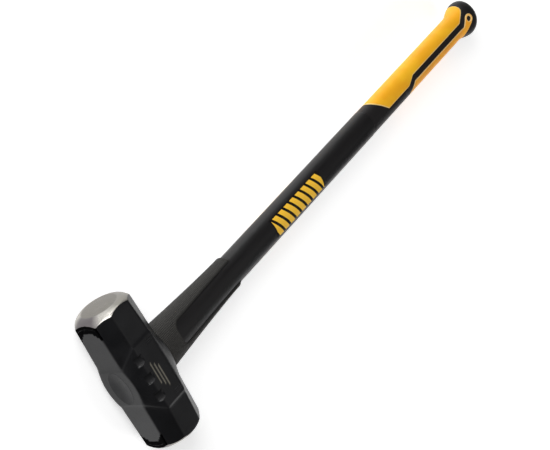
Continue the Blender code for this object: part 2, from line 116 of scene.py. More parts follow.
softbox("key_upper_left", (-0.9, 1.2, 0.95), 2.6, (1.5, 1.5), 50)
softbox("strip_along_the_handle", (0.15, 1.0, 0.22), 1.6, (1.6, 0.25), 8)
softbox("fill_behind_the_camera", (0.4, -0.5, 1.6), 3.2, (2.4, 2.4), 8)
softbox("fill_low_on_the_right", (0.5, -1.2, 0.5), 2.4, (1.6, 1.2), 26, seen=False)
softbox("kicker_on_the_belt", (0.54, -0.79, 0.29), 0.9, (0.3, 0.3), 0.45, aim_x=0.0)
bpy.context.scene.view_settings.view_transform = "Standard"
bpy.context.scene.view_settings.look = "None"


# ------------------------------------------------------------------ head
# Drop-forged octagonal head, lacquered black as forged and then ground bright on both
# striking ends. The belt over the eye is forged proud, with three ramped notches, three slim
# sunk bars and three fine ribs on each cheek.

MM = 0.001


def smooth(value, low, high):
    """S-shaped step from 0 at low to 1 at high."""
    share = np.clip((value - low) / (high - low), 0.0, 1.0)
    return share * share * (3.0 - 2.0 * share)


def make_object(name, points, faces, material, attributes=None):
    """A mesh object from millimetre points about the crossing of the two axes."""
    mesh = bpy.data.meshes.new(name)
    placed = np.asarray(points, dtype=float) * MM + np.array(CROSSING)
    mesh.from_pydata(placed.tolist(), [], faces)
    mesh.materials.append(material)
    for key, values in (attributes or {}).items():
        layer = mesh.attributes.new(key, "FLOAT", "POINT")
        layer.data.foreach_set("value", np.asarray(values, dtype=np.float32).ravel())
    mesh.shade_smooth()
    mesh.set_sharp_from_angle(angle=math.radians(50))
    made = bpy.data.objects.new(name, mesh)
    bpy.context.scene.collection.objects.link(made)
    return made


def tube_faces(rows, columns, start=0, flip=False, joined=False):
    """Quads of a grid of closed loops, row by row; joined adds those from the last to the first."""
    index = start + np.arange(rows * columns).reshape(rows, columns)
    if joined:
        index = np.vstack([index, index[:1]])
    right = np.roll(index, -1, axis=1)
    quads = np.stack([index[:-1], right[:-1], right[1:], index[1:]], axis=-1).reshape(-1, 4)
    return (quads[:, ::-1] if flip else quads).tolist()


def cap_faces(loop, pole, flip=False):
    """Triangles from a loop of vertices to one pole."""
    faces = np.stack([loop, np.roll(loop, -1), np.full(len(loop), pole)], axis=-1)
    return (faces[:, ::-1] if flip else faces).tolist()


HEAD_HALF = (head_high.y - head_low.y) / 2 / MM
CROWN = -head_low.x / MM
CHEEK = (head_high.z - head_low.z) / 2 / MM
BELT_AT_CHEEK, BELT_AT_CROWN = 42.0, 23.5
BELT_STEP, BELT_SLOPE = 1.3, 3.4
BELT_SWELL = 5.1
# Crown half-height, crown facet's half-width, cheek facet's half-width and cheek half-height,
# at the striking end, at the foot of the belt's edge and on the belt.
SIZES_AT_END = np.array([33.4, 17.4, 15.7, 31.2])
SIZES_AT_FOOT = np.array([CROWN - 0.65, 20.9 - BELT_STEP, 16.7, CHEEK - BELT_STEP])
SIZES_ON_BELT = np.array([CROWN - 0.1, 20.9, 16.7, CHEEK])
FACE_RADIUS, FACE_FALL = 23.5, 0.55
BEVEL_RADIUS, BEVEL_FALL = 37.1, 8.6
BEVEL_LEAN, BEVEL_CURVE = 0.3, 7.75
EYE_MOUTH = (22.5, 14.4)
POCKET_DEPTH = 6.6
NOTCHES = (-25.0, 0.0, 25.0)
BARS = ((-6.9, 0.0), (-2.3, -4.6), (2.3, -9.2))
RIBS = (33.8, 36.2, 38.6)


def head_rows():
    """Rows from one striking end to the other.

    Each row is y at the crown's corners, y at the cheek's corners, and the four sizes. From the
    striking end to the foot of the belt they run in straight lines, the belt's edge is a
    straight slope, and on the belt the crown facet widens by a parabola.
    """
    past = HEAD_HALF + BELT_STEP
    foot_crown, foot_cheek = BELT_AT_CROWN + BELT_SLOPE, BELT_AT_CHEEK + BELT_SLOPE
    fan_from = 70.0
    y = np.concatenate([np.linspace(HEAD_HALF - 2.0, 82.0, 28), np.linspace(80.5, foot_cheek, 12)])
    fan = np.clip((fan_from - y) / (fan_from - foot_cheek), 0.0, 1.0)
    crown_y = y - (foot_cheek - foot_crown) * fan
    at_crown, at_cheek = (past - crown_y) / (past - foot_crown), (past - y) / (past - foot_cheek)
    share = np.stack([at_crown, at_crown, at_cheek, at_cheek], axis=-1)
    plain = np.column_stack([crown_y, y, SIZES_AT_END + (SIZES_AT_FOOT - SIZES_AT_END) * share])
    up = np.linspace(0.0, 1.0, 7)[1:, None]
    slope = np.column_stack([foot_crown - BELT_SLOPE * up, foot_cheek - BELT_SLOPE * up,
                             SIZES_AT_FOOT + (SIZES_ON_BELT - SIZES_AT_FOOT) * up])
    share = np.concatenate([np.linspace(BELT_AT_CHEEK, 31.5, 22)[1:], np.linspace(31.0, 0.0, 54)])
    share = share[:, None] / BELT_AT_CHEEK
    swell = BELT_SWELL * (1 - share * share) * np.array([0, 1, 0, 0])
    belt = np.column_stack([BELT_AT_CROWN * share, BELT_AT_CHEEK * share, SIZES_ON_BELT + swell])
    half = np.vstack([plain, slope, belt])
    return np.vstack([half, half[:-1][::-1] * np.array([-1, -1, 1, 1, 1, 1])])


def turned_radius(y):
    """The turned profile's radius at a distance from the middle of the head.

    On the bevel the fall below the face is a small constant, plus the lean times s, plus the
    curve times s squared, where s runs from 0 at the rim of the face to 1; past it the profile
    opens at 45 degrees.
    """
    gone = HEAD_HALF - np.abs(y)
    fallen = np.clip(gone - FACE_FALL, 0.0, BEVEL_LEAN + BEVEL_CURVE)
    share = (np.sqrt(BEVEL_LEAN ** 2 + 4 * BEVEL_CURVE * fallen) - BEVEL_LEAN) / (2 * BEVEL_CURVE)
    return FACE_RADIUS + (BEVEL_RADIUS - FACE_RADIUS) * share + np.maximum(gone - BEVEL_FALL, 0.0)


def sink_relief(x, y, z):
    """The cheeks' heights with ramped notches, slim bars and fine ribs sunk in them, and how
    much each point lies in a bar."""
    for middle in NOTCHES:
        across = smooth(x, -22.6, -21.6) * (1 - smooth(x, -11.9, -11.1))
        along = smooth(y, middle - 6.2, middle - 5.6) * (1 - smooth(y, middle + 5.5, middle + 6.2))
        climb = 3.6 * np.clip((middle + 6.0 - y) / 12, 0.0, 1.0) ** 2.2
        floor_at = CHEEK - 2.8 + climb - 4.5 * (-11.2 - x) / 11
        z = z - np.sign(z) * np.maximum(np.abs(z) - floor_at, 0.0) * across * along
    on_cheek = smooth(np.abs(z), CHEEK - 0.5, CHEEK - 0.2)
    bars = np.zeros_like(x)
    for at, middle in BARS:
        across = 1 - smooth(np.abs(x - at), 0.75, 1.15)
        slant = y - middle - (x - at)
        bars = np.maximum(bars, on_cheek * across * (1 - smooth(np.abs(slant), 14.3, 15.0)))
    ribs = np.zeros_like(x)
    for at in RIBS:
        ribs = np.maximum(ribs, np.exp(-((np.abs(y) - at) / 0.55) ** 2))
    ribs = ribs * on_cheek * smooth(x, 3.0, 4.0) * (1 - smooth(x, 14.6, 15.6))
    return z - np.sign(z) * (0.45 * bars + 0.35 * ribs), bars


def build_head(material):
    """The octagon's facets in rows along the head, cut to the turned profile by a soft minimum
    of the two radii, sunk for the relief, and closed by turned rings and a pole at each end.

    Attributes: polish is above 0 where the turned cut lies inside the octagon, scale is 1 on
    the band of painted shade that the crown keeps beside the bevel, and paint is 1 in the bars.
    """
    crown_y, cheek_y, crown_x, crown_z, cheek_x, cheek_z = head_rows().T

    def crown_corner(sx, sz):
        return np.stack([sx * crown_x, crown_y, sz * crown_z], axis=-1)[:, None]

    def cheek_corner(sx, sz):
        return np.stack([sx * cheek_x, cheek_y, sz * cheek_z], axis=-1)[:, None]

    ring = [crown_corner(-1, -1), crown_corner(-1, 1), cheek_corner(-1, 1), cheek_corner(1, 1),
            crown_corner(1, 1), crown_corner(1, -1), cheek_corner(1, -1), cheek_corner(-1, -1)]
    facets = []
    for start, end, count in zip(ring, ring[1:] + ring[:1], (44, 30, 60, 30) * 2):
        even = np.arange(count) / count
        share = 0.45 * even + 0.55 * (0.5 - 0.5 * np.cos(math.pi * even))
        facets.append(start + (end - start) * share[:, None])
    x, y, z = np.moveaxis(np.concatenate(facets, axis=1), -1, 0)
    crown_x, crown_z, cheek_x, cheek_z = (
        size[:, None] for size in (crown_x, crown_z, cheek_x, cheek_z))
    rise, run = cheek_z - crown_z, crown_x - cheek_x
    chamfer = (rise * np.abs(x) + run * np.abs(z)) / (rise * crown_x + run * crown_z)
    power = 64.0
    corner = (np.abs(x) / crown_x) ** power + (np.abs(z) / cheek_z) ** power + chamfer ** power
    x, z = x / corner ** (1 / power), z / corner ** (1 / power)
    radius, limit = np.hypot(x, z), turned_radius(y)
    polish = np.clip((radius - limit) / 2.0, -1.0, 1.0)
    # scale marks a band of painted shade on the crown facet beside the bevel.
    band = 9.2 + 5.4 * smooth(np.abs(z), 5.0, 17.5)
    scale = smooth(radius - limit, -band - 1.5, -band)
    scale = scale * smooth(-x, 32.3, 32.9) * smooth(np.abs(y), 60.0, 62.0)
    # A thin arc inside the painted-shade band is left as plain lacquer.
    scale *= 1 - 0.45 * np.exp(-((limit - radius - 4.2) / 0.7) ** 2)
    cut = (radius ** -power + limit ** -power) ** (-1 / power) / radius
    x, z = x * cut, z * cut
    z, bars = sink_relief(x, y, z)
    pocket = 1 - smooth(np.hypot(y / EYE_MOUTH[0], z / EYE_MOUTH[1]), 0.97, 1.01)
    x = x + POCKET_DEPTH * pocket * (x < 3 - CROWN)

    rows, columns = x.shape
    points = [np.stack([x, y, z], axis=-1).reshape(-1, 3)]
    faces = tube_faces(rows, columns, flip=True)
    share = np.linspace(0.38, 0.0, 16)
    gone = FACE_FALL + BEVEL_LEAN * share + BEVEL_CURVE * share ** 2
    gone = np.concatenate([gone, (0.52, 0.47, 0.33, 0.17, 0.03, 0.0, 0.0, 0.0)])[:, None]
    radii = FACE_RADIUS + (BEVEL_RADIUS - FACE_RADIUS) * share
    radii = np.concatenate([radii, (22.8, 21.8, 19.0, 16.0, 12.5, 11.5, 8.0, 4.0)])[:, None]
    turns = np.arctan2(z, x)
    nxt = np.roll(np.arange(columns), -1)
    start = rows * columns
    for side, row in ((1, 0), (-1, rows - 1)):
        ring_x, ring_z = radii * np.cos(turns[row]), radii * np.sin(turns[row])
        turned = np.stack([ring_x, side * (HEAD_HALF - gone) + 0 * ring_x, ring_z], axis=-1)
        points += [turned.reshape(-1, 3), np.array([[0.0, side * HEAD_HALF, 0.0]])]
        first, last = start + np.arange(columns), row * columns + np.arange(columns)
        quads = np.stack([last, last[nxt], first[nxt], first], axis=-1)
        faces += (quads if side > 0 else quads[:, ::-1]).tolist()
        faces += tube_faces(len(radii), columns, start, flip=side < 0)
        pole = start + len(radii) * columns
        faces += cap_faces(np.arange(pole - columns, pole).tolist(), pole, flip=side < 0)
        start = pole + 1
    rest = start - rows * columns
    return make_object("forged_head", np.vstack(points), faces, material, {
        "polish": np.append(polish, np.ones(rest)), "scale": np.append(scale, np.zeros(rest)),
        "paint": np.append(bars, np.zeros(rest))})


def add(tree, kind, inputs=(), **settings):
    """Add one shader node with its settings and links, and give its outputs.

    Each input is a socket to link from or a constant, in a dict by the socket's name or in a
    list in the node's own order. MapRange's order is value, from low, from high, to low, to high.
    """
    made = tree.nodes.new("ShaderNode" + kind)
    for key, value in settings.items():
        setattr(made, key, value)
    for key, value in (inputs.items() if isinstance(inputs, dict) else enumerate(inputs)):
        if isinstance(value, bpy.types.NodeSocket):
            tree.links.new(value, made.inputs[key])
        else:
            made.inputs[key].default_value = value
    return made.outputs


# Black baked lacquer over forged steel, ground away at both ends: satin and slightly
# bumpy where black, bright with fine turning rings where ground. Painted shade: a near-black
# metallic band on the crown beside the bevel, a flat face darker than the bevel, and a bevel
# darker towards the crown and a little darker towards the cheeks and the grip. The rings are
# 0.55 mm apart, as coarse as they need to be to show.
steel, tree, shader = new_material("forged_steel_lacquered_and_ground")
place = add(tree, "TexCoord")["Object"]
x, _, z = add(tree, "SeparateXYZ", {"Vector": place}).values()
raised = add(tree, "Math", [z, AXIS_Z], operation="SUBTRACT")[0]
square_x = add(tree, "Math", [x, x], operation="MULTIPLY")[0]
square_z = add(tree, "Math", [raised, raised], operation="MULTIPLY")[0]
radius = add(tree, "Math", [square_x, square_z], operation="ADD")[0]
radius = add(tree, "Math", [radius], operation="SQRT")[0]
rings = add(tree, "Math", [radius, 2 * math.pi / (0.55 * MM)], operation="MULTIPLY")[0]
rings = add(tree, "Math", [rings], operation="SINE")[0]
grind = add(tree, "Mapping", {"Vector": place, "Scale": (1.0, 1.0, 0.06)})["Vector"]
scratch = add(tree, "TexNoise", {"Vector": grind, "Scale": 1.6 / MM, "Detail": 6.0})["Fac"]
speckle = add(tree, "TexNoise",
              {"Vector": place, "Scale": 0.9 / MM, "Detail": 5.0, "Roughness": 0.65})["Fac"]
cloud = add(tree, "TexNoise", {"Vector": place, "Scale": 0.03 / MM, "Detail": 2.0})["Fac"]
waver = add(tree, "TexNoise", {"Vector": place, "Scale": 0.25 / MM, "Detail": 3.0})["Fac"]
waver = add(tree, "MapRange", [waver, 0.0, 1.0, -0.25, 0.25])["Result"]

polish = add(tree, "Attribute", attribute_name="polish")["Fac"]
bare = add(tree, "Math", [polish, waver], operation="ADD")[0]
bare = add(tree, "MapRange", [bare, -0.08, 0.08])["Result"]
painted_dark_band = add(tree, "Attribute", attribute_name="scale")["Fac"]
painted_dark_band = add(tree, "Math", [painted_dark_band, waver], operation="ADD")[0]
painted_dark_band = add(tree, "MapRange", [painted_dark_band, 0.3, 0.7])["Result"]
paint = add(tree, "Attribute", attribute_name="paint")["Fac"]
worn = add(tree, "MapRange", [speckle, 0.35, 0.6, 0.95, 0.6])["Result"]
paint = add(tree, "Math", [paint, worn], operation="MULTIPLY")[0]

cloudy = add(tree, "MapRange", [cloud, 0.35, 0.65])["Result"]
specks = add(tree, "MapRange", [speckle, 0.62, 0.78, 0.0, 0.3])["Result"]
# On the scale band the lacquer turns near-black metal: painted shade that stands in for a dark
# reflection.
lacquer = linear("#0d0d0f")
for factor, colour in ((cloudy, "#151517"), (specks, "#302f31"), (painted_dark_band, "#050506"),
                       (paint, "#7b776c")):
    lacquer = add(tree, "Mix", {"Factor": factor, "A": lacquer, "B": linear(colour)},
                  data_type="RGBA")["Result"]
brushed = add(tree, "MapRange", [scratch, 0.3, 0.7])["Result"]
# The flat face is painted darker than the bevel, as painted shade.
face = add(tree, "Mix", {"Factor": brushed, "A": linear("#6e6b65"), "B": linear("#88847d")},
           data_type="RGBA")["Result"]
bevel = add(tree, "Mix", {"Factor": brushed, "A": linear("#a5a29c"), "B": linear("#c8c5bf")},
            data_type="RGBA")["Result"]
# Painted shade on the bevel: darker on its crown side, and a little darker on its cheek and grip
# side.
towards_grip = add(tree, "Math", [x, radius], operation="DIVIDE")[0]
painted_shade_crown_side = add(tree, "MapRange", [towards_grip, -0.74, -0.93, 0.0, 0.85])["Result"]
painted_shade_cheek_side = add(tree, "MapRange", [towards_grip, -0.45, 0.05, 0.0, 0.8])["Result"]
for factor, colour in ((painted_shade_crown_side, "#575256"), (painted_shade_cheek_side, "#827f78")):
    bevel = add(tree, "Mix", {"Factor": factor, "A": bevel, "B": linear(colour)},
                data_type="RGBA")["Result"]
past_face = add(tree, "MapRange", [radius, 22.4 * MM, 24.6 * MM])["Result"]
ground = add(tree, "Mix", {"Factor": past_face, "A": face, "B": bevel}, data_type="RGBA")["Result"]
tone = add(tree, "Mix", {"Factor": bare, "A": lacquer, "B": ground}, data_type="RGBA")["Result"]
tree.links.new(tone, shader.inputs["Base Color"])
shader.inputs["Specular IOR Level"].default_value = 0.36
# The painted-shade band is made metallic so that its near-black colour also darkens its reflection.
metallic = add(tree, "Math", [bare, painted_dark_band], operation="MAXIMUM")[0]
tree.links.new(metallic, shader.inputs["Metallic"])

rough_paint = add(tree, "MapRange", [speckle, 0.3, 0.7, 0.3, 0.42])["Result"]
rough_paint = add(tree, "Math", [rough_paint, painted_dark_band], operation="MAXIMUM")[0]
rough_steel = add(tree, "MapRange", [scratch, 0.3, 0.7, 0.3, 0.44])["Result"]
rough = add(tree, "Mix", {"Factor": bare, "A": rough_paint, "B": rough_steel})["Result"]
tree.links.new(rough, shader.inputs["Roughness"])
peel = add(tree, "TexNoise", {"Vector": place, "Scale": 0.35 / MM, "Detail": 4.0})["Fac"]
peel = add(tree, "Math", [peel, 0.12], operation="MULTIPLY")[0]
grooves = add(tree, "Math", [rings, scratch], operation="ADD")[0]
grooves = add(tree, "Math", [grooves, 0.012], operation="MULTIPLY")[0]
relief = add(tree, "Mix", {"Factor": bare, "A": peel, "B": grooves})["Result"]
normal = add(tree, "Bump", {"Height": relief, "Distance": MM, "Strength": 0.8})["Normal"]
tree.links.new(normal, shader.inputs["Normal"])

head = build_head(steel)
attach(head, "root")
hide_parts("head")


# ------------------------------------------------------------------ eye: resin, core and carbon
# Inside the eye the layered handle is bonded with poured epoxy. All three layers are hidden by
# the pieces outside them, so they keep their CAD shapes.

def repaint(node_name, material):
    """Give a CAD piece that stays a better material."""
    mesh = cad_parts[node_name].data
    mesh.materials.clear()
    mesh.materials.append(material)


# Cast amber resin: faintly cloudy, glossy, with trapped bubbles.
resin, tree, shader = new_material("cast_epoxy_resin")
place = add(tree, "TexCoord")["Object"]
cloud = add(tree, "TexNoise", {"Vector": place, "Scale": 0.15 / MM, "Detail": 3.0})["Fac"]
tree.links.new(add(tree, "Mix", {"Factor": cloud, "A": linear("#6d5a33"), "B": linear("#a08a55")},
                   data_type="RGBA")["Result"], shader.inputs["Base Color"])
tree.links.new(add(tree, "MapRange", [cloud, 0.3, 0.7, 0.2, 0.35])["Result"],
               shader.inputs["Roughness"])
repaint("eye_bond", resin)

# Pultruded glass fibre: straight rovings along the rod in pale resin.
glass, tree, shader = new_material("pultruded_glass_fibre")
place = add(tree, "TexCoord")["Object"]
along = add(tree, "Mapping", {"Vector": place, "Scale": (0.02, 1.0, 1.0)})["Vector"]
roving = add(tree, "TexNoise", {"Vector": along, "Scale": 2.0 / MM, "Detail": 5.0})["Fac"]
tree.links.new(add(tree, "Mix", {"Factor": roving, "A": linear("#b3a878"), "B": linear("#d9d2ae")},
                   data_type="RGBA")["Result"], shader.inputs["Base Color"])
tree.links.new(add(tree, "MapRange", [roving, 0.3, 0.7, 0.35, 0.5])["Result"],
               shader.inputs["Roughness"])
repaint("fibreglass_core", glass)

# Wound carbon cloth in black resin: crossing tows with a dull glint.
carbon, tree, shader = new_material("wound_carbon_composite")
place = add(tree, "TexCoord")["Object"]
tows = add(tree, "TexWave", {"Vector": place, "Scale": 120.0, "Distortion": 0.5},
           bands_direction="DIAGONAL")["Fac"]
tree.links.new(add(tree, "Mix", {"Factor": tows, "A": linear("#121214"), "B": linear("#34353a")},
                   data_type="RGBA")["Result"], shader.inputs["Base Color"])
tree.links.new(add(tree, "MapRange", [tows, 0.0, 1.0, 0.25, 0.4])["Result"],
               shader.inputs["Roughness"])
repaint("carbon_layer", carbon)


# ------------------------------------------------------------------ eye plug
# Potting compound poured level in the eye at the crown and dished as it set, with a thin
# meniscus that creeps over the rim of the eye. Sprayed black with the head.

def loop_points(x, half_y, half_z, count):
    """One oval loop round the handle's axis."""
    turn = 2 * math.pi * np.arange(count) / count
    return np.stack([np.full(count, x), half_y * np.sin(turn), half_z * np.cos(turn)], axis=-1)


PLUG_DEPTH = 5.9
DISH_MARGIN = 0.8


def build_plug(material):
    """Ovals from the bottom of the pour, up its wall, over the meniscus and down the dish, as
    depths below the crown and growth over the mouth of the eye."""
    count = 128
    half_y, half_z = EYE_MOUTH
    profile = [(PLUG_DEPTH, -0.25), (1.1, -0.25), (0.4, 0.35), (0.15, 0.85), (0.07, 1.0),
               (0.01, 0.75), (0.0, 0.4), (0.05, -0.2), (0.2, -0.8)]
    rings = [loop_points(depth - CROWN, half_y + grow, half_z + grow, count)
             for depth, grow in profile]
    for share in np.linspace(0.93, 0.04, 22):
        depth = 0.25 + 1.9 * (1 - share * share) ** 1.4
        rings.append(loop_points(depth - CROWN, (half_y - DISH_MARGIN) * share,
                                 (half_z - DISH_MARGIN) * share, count))
    poles = np.array([[2.15 - CROWN, 0.0, 0.0], [PLUG_DEPTH - CROWN, 0.0, 0.0]])
    points = np.vstack(rings + [poles])
    faces = tube_faces(len(rings), count)
    faces += cap_faces((len(rings) - 1) * count + np.arange(count), len(points) - 2)
    faces += cap_faces(np.arange(count), len(points) - 1, flip=True)
    return make_object("potted_eye_plug", points, faces, material)


# Poured compound under the same black spray: softer and duller than the lacquered steel.
potting, tree, shader = new_material("poured_potting_sprayed_black")
place = add(tree, "TexCoord")["Object"]
grain = add(tree, "TexNoise", {"Vector": place, "Scale": 0.8 / MM, "Detail": 5.0})["Fac"]
cloud = add(tree, "TexNoise", {"Vector": place, "Scale": 0.06 / MM, "Detail": 3.0})["Fac"]
cloudy = add(tree, "MapRange", [cloud, 0.3, 0.7])["Result"]
tone = add(tree, "Mix", {"Factor": cloudy, "A": linear("#0e0e10"), "B": linear("#171719")},
           data_type="RGBA")["Result"]
tree.links.new(tone, shader.inputs["Base Color"])
shader.inputs["Specular IOR Level"].default_value = 0.3
tree.links.new(add(tree, "MapRange", [grain, 0.3, 0.7, 0.36, 0.5])["Result"],
               shader.inputs["Roughness"])
pitted = add(tree, "TexNoise", {"Vector": place, "Scale": 0.3 / MM, "Detail": 3.0})["Fac"]
normal = add(tree, "Bump", {"Height": pitted, "Distance": MM, "Strength": 0.12})["Normal"]
tree.links.new(normal, shader.inputs["Normal"])
plug = build_plug(potting)
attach(plug, "root")
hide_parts("eye_plug")


# ------------------------------------------------------------------ outer casing
# Black polypropylene moulded over the carbon layer: even along the shaft, swollen at the head
# and stepped down under the grip. A fine parting line runs along each striking side.

CASING = (20.4, 16.3)
CASING_START, SWELL_END, SHOULDER, TAIL_END = 35.3, 192.0, 547.7, 829.9
SWELL = (8.3, 6.0)
TAIL = (16.4, 12.9)
CARBON_BORE = (13.9, 10.6)


def casing_half(x):
    """The casing's semi-axes at x: even, then swelling towards the head."""
    share = np.clip((SWELL_END - x) / (SWELL_END - CASING_START), 0.0, 1.0) ** 1.34
    return CASING[0] + SWELL[0] * share, CASING[1] + SWELL[1] * share


def build_casing(material):
    """Ovals along the shaft with a raised parting line, then the bore back to the head."""
    count = 144
    turn = 2 * math.pi * np.arange(count) / count
    line = 0.12 * np.exp(-((np.sin(turn) ** 2 - 1.0) / 0.004) ** 2)
    rings = []
    for x in np.concatenate([np.linspace(CASING_START, SWELL_END, 40),
                             np.linspace(200.0, 546.6, 30), [547.2, 547.6]]):
        half_y, half_z = casing_half(x)
        edge = 0.2 * smooth(x, 546.6, SHOULDER) ** 2
        rings.append(np.stack([np.full(count, x), (half_y - edge + line) * np.sin(turn),
                               (half_z - edge) * np.cos(turn)], axis=-1))
    rings += [loop_points(x, *TAIL, count) for x in (SHOULDER, TAIL_END)]
    rings += [loop_points(x, *CARBON_BORE, count) for x in (TAIL_END, CASING_START)]
    faces = tube_faces(len(rings), count, flip=True, joined=True)
    return make_object("moulded_casing", np.vstack(rings), faces, material)


# Moulded polypropylene: near black, satin, faintly streaked along the flow of the melt.
plastic, tree, shader = new_material("moulded_black_polypropylene")
place = add(tree, "TexCoord")["Object"]
flow = add(tree, "Mapping", {"Vector": place, "Scale": (0.05, 1.0, 1.0)})["Vector"]
streak = add(tree, "TexNoise", {"Vector": flow, "Scale": 0.35 / MM, "Detail": 4.0})["Fac"]
stipple = add(tree, "TexNoise", {"Vector": place, "Scale": 1.4 / MM, "Detail": 3.0})["Fac"]
tree.links.new(add(tree, "Mix", {"Factor": streak, "A": linear("#0f0e0f"), "B": linear("#181617")},
                   data_type="RGBA")["Result"], shader.inputs["Base Color"])
shade = add(tree, "Math",
            [add(tree, "MapRange", [streak, 0.3, 0.7, 0.36, 0.44])["Result"],
             add(tree, "MapRange", [stipple, 0.3, 0.7, 0.0, 0.06])["Result"]], operation="ADD")[0]
tree.links.new(shade, shader.inputs["Roughness"])
normal = add(tree, "Bump", {"Height": stipple, "Distance": MM, "Strength": 0.06})["Normal"]
tree.links.new(normal, shader.inputs["Normal"])
casing = build_casing(plastic)
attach(casing, "root")
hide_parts("outer_casing")


# ------------------------------------------------------------------ over-strike guard
# Textured rubber moulded over the casing behind the head: a full ring with a long tongue on
# each striking side, and a window on each cheek side that ends in two round corners.

def plan_distance(x, y, outline):
    """Signed distance in the plan to a closed outline, positive inside it."""
    ax, ay = np.array(outline, dtype=float).T
    bx, by = np.roll(ax, -1), np.roll(ay, -1)
    best = np.full(x.shape, 1e9)
    inside = np.zeros(x.shape, dtype=bool)
    for x0, y0, x1, y1 in zip(ax, ay, bx, by):
        length = (x1 - x0) ** 2 + (y1 - y0) ** 2
        share = np.clip(((x - x0) * (x1 - x0) + (y - y0) * (y1 - y0)) / length, 0.0, 1.0)
        best = np.minimum(best, np.hypot(x - x0 - share * (x1 - x0), y - y0 - share * (y1 - y0)))
        if y0 != y1:
            crosses = ((y0 > y) != (y1 > y)) & (x < (x1 - x0) * (y - y0) / (y1 - y0) + x0)
            inside ^= crosses
    return np.where(inside, best, -best)


def shell_patch(stations, turns, half_sizes, distance, top, bottom, wrap=True):
    """A curved plate on the handle: points and faces of its outside, inside and border walls.

    It starts as a grid of stations along X and turns round the handle. Cells whose middle lies
    inside the border, where distance(x, turn) is positive, are kept, and the vertices on the
    rim of what is kept slide on to the border itself. top and bottom give the height over the
    half sizes from x, turn and distance. Gives points, faces, and the distance of each point.
    """
    x, turn = np.meshgrid(stations, turns, indexing="ij")
    rows, columns = x.shape
    nxt = (np.arange(columns) + 1) % columns
    cells = columns if wrap else columns - 1
    right = np.concatenate([turn[:, 1:], turn[:, :1] + 2 * math.pi], axis=1)
    keep = distance((x[:-1] + x[1:]) / 2, (turn[:-1] + right[:-1]) / 2)[:, :cells] > 0.0
    used = np.zeros((rows, columns), dtype=int)
    for row in (slice(0, rows - 1), slice(1, rows)):
        used[row, :cells] += keep
        used[row, nxt[:cells]] += keep
    whole = np.full((rows, columns), 4)
    whole[0] = whole[-1] = 2
    if not wrap:
        whole[:, 0] //= 2
        whole[:, -1] //= 2
    rim = (used > 0) & (used < whole)
    scale = np.maximum(half_sizes(x)[0], 1.0)
    for _ in range(6):
        here = distance(x, turn)
        small = 0.02
        slope_x = (distance(x + small, turn) - here) / small
        slope_turn = (distance(x, turn + small / scale) - here) / small
        size = np.maximum(slope_x ** 2 + slope_turn ** 2, 0.05)
        x = np.where(rim, x - np.clip(here * slope_x / size, -0.5, 0.5), x)
        turn = np.where(rim, turn - np.clip(here * slope_turn / size, -0.5, 0.5) / scale, turn)
    here = np.where(rim, 0.0, np.maximum(distance(x, turn), 0.0))
    half_y, half_z = half_sizes(x)
    normal = np.stack([half_z * np.sin(turn), half_y * np.cos(turn)], axis=-1)
    normal /= np.linalg.norm(normal, axis=-1, keepdims=True)
    points = []
    for height in (top(x, turn, here), bottom(x, turn, here)):
        layer = np.stack([x, half_y * np.sin(turn) + height * normal[..., 0],
                          half_z * np.cos(turn) + height * normal[..., 1]], axis=-1)
        points.append(layer.reshape(-1, 3))
    index = np.arange(rows * columns).reshape(rows, columns)
    row_at, column_at = np.nonzero(keep)
    a, b = index[row_at, column_at], index[row_at, nxt[column_at]]
    c, d = index[row_at + 1, nxt[column_at]], index[row_at + 1, column_at]
    outside = np.stack([a, d, c, b], axis=-1)
    inside = outside[:, ::-1] + rows * columns
    total = rows * columns
    start, end = outside.ravel(), np.roll(outside, -1, axis=1).ravel()
    border = np.sort((start * total + end)[~np.isin(start * total + end, end * total + start)])
    start, end = border // total, border % total
    walls = np.stack([end, start, start + total, end + total], axis=-1)
    faces = np.concatenate([outside, inside, walls])
    kept = np.zeros(2 * total, dtype=bool)
    kept[faces] = True
    faces = (np.cumsum(kept) - 1)[faces].tolist()
    return np.vstack(points)[kept], faces, np.tile(here.ravel(), 2)[kept]


GUARD_END = 198.0
WINDOW_START, WINDOW_HALF_WIDTH, WINDOW_CORNER = 64.0, 15.4, 11.0


def guard_distance(x, turn):
    """Distance from the border of the guard's window, positive on the rubber."""
    y = np.abs(casing_half(x)[0] * np.sin(turn))
    corner_x = WINDOW_START + WINDOW_CORNER - x
    corner_y = y - (WINDOW_HALF_WIDTH - WINDOW_CORNER)
    rounded = np.hypot(np.maximum(corner_x, 0.0), np.maximum(corner_y, 0.0)) - WINDOW_CORNER
    return np.maximum(rounded, y - WINDOW_HALF_WIDTH)


def build_guard(material):
    """The guard's plate: thicker on the striking sides, with rounded borders, a lip and two
    fine rings at the head, and a thin worn end."""
    stations = np.concatenate([np.linspace(CASING_START, 37.5, 5), np.linspace(38.5, 193.0, 156),
                               np.linspace(193.6, GUARD_END, 9)])
    turns = 2 * math.pi * np.arange(208) / 208

    def top(x, turn, here):
        thick = 1.5 + 1.1 * np.sin(turn) ** 2
        worn = 1 - 0.75 * smooth(x, 194.0, GUARD_END)
        lip = 1 - 0.3 * (1 - smooth(x, CASING_START, 37.0))
        rim = 0.55 + 0.45 * smooth(here, 0.0, 1.2)
        rings = 0.22 * (np.exp(-((x - 41.0) / 0.7) ** 2) + np.exp(-((x - 45.0) / 0.7) ** 2))
        return (thick - rings) * worn * lip * rim

    points, faces, here = shell_patch(stations, turns, casing_half, guard_distance, top,
                                      lambda x, turn, here: np.full(x.shape, 0.2))
    return make_object("overmoulded_guard", points, faces, material, {"border": here})
